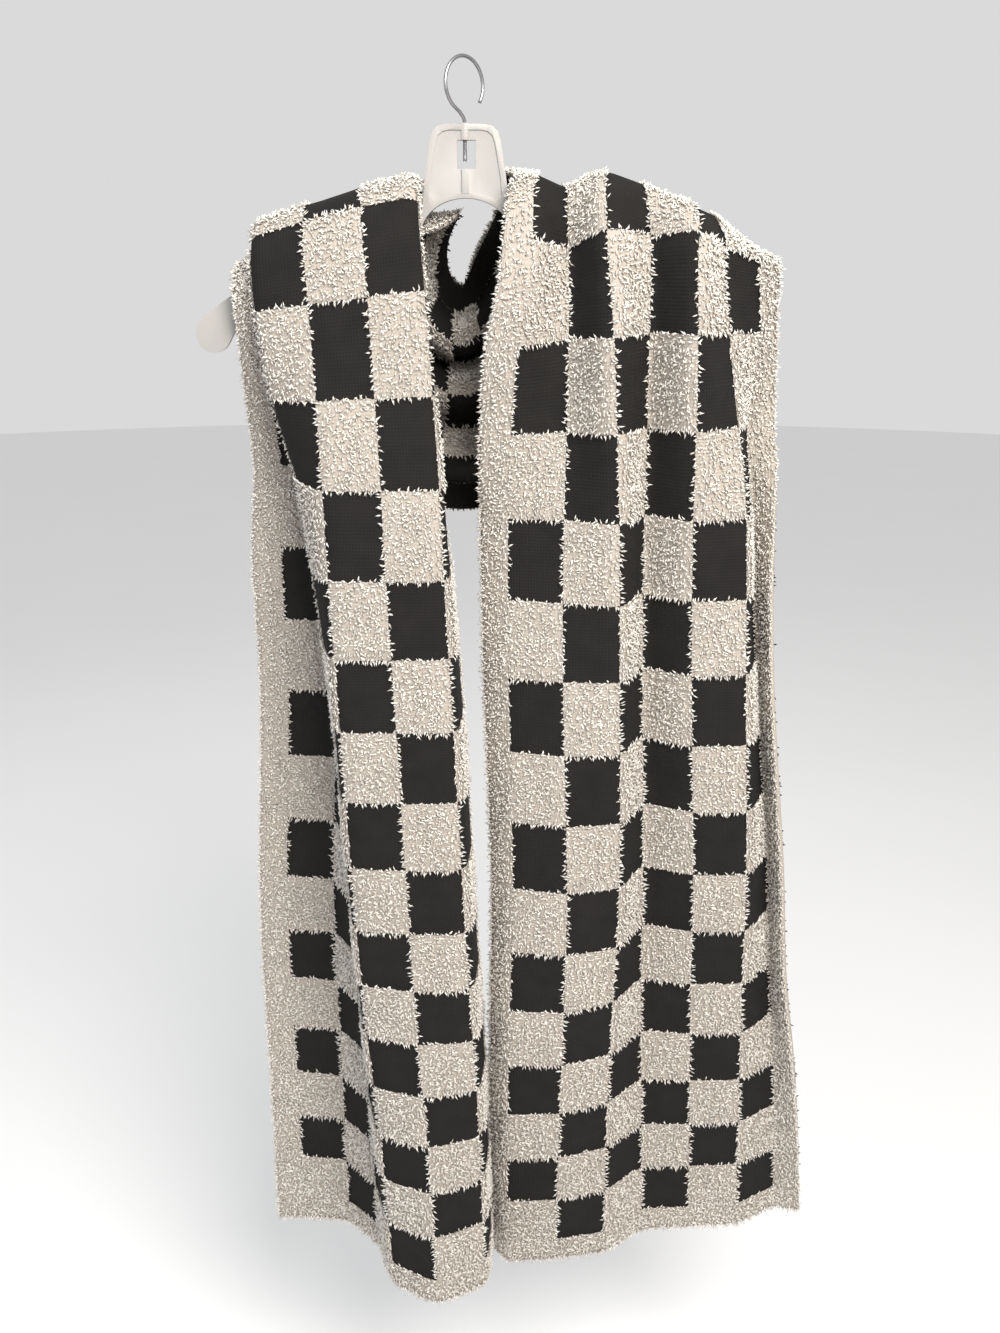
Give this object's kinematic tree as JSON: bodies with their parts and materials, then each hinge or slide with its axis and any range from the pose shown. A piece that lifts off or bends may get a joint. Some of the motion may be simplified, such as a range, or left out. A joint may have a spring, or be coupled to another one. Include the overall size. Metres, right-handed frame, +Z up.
{
  "type": "knitted scarf on hanger",
  "caption": "Long chenille knit scarf in a two-tone check with a plain border, hung over a plastic hanger with a wire hook.",
  "frame": {"origin": "inside of the top of the hook's curve, where a rail carries it", "axes": "+Z up, opposite to gravity; -Y to the side on which both ends hang; +X to the right of that view"},
  "size_m": [0.5146, 0.2016, 1.0236],
  "materials": {
    "knit": "fuzzy chenille double knit, cream border, cream and black checks, the same checks with the colours swapped on the reverse",
    "hanger_plastic": "milky translucent moulded plastic",
    "hook_wire": "bright drawn wire"
  },
  "bodies": {
    "root": {"scarf_left_end": "knit", "scarf_back": "knit", "scarf_right_end": "knit", "hanger_body": "hanger_plastic", "hanger_hook": "hook_wire"}
  },
  "joints": []
}
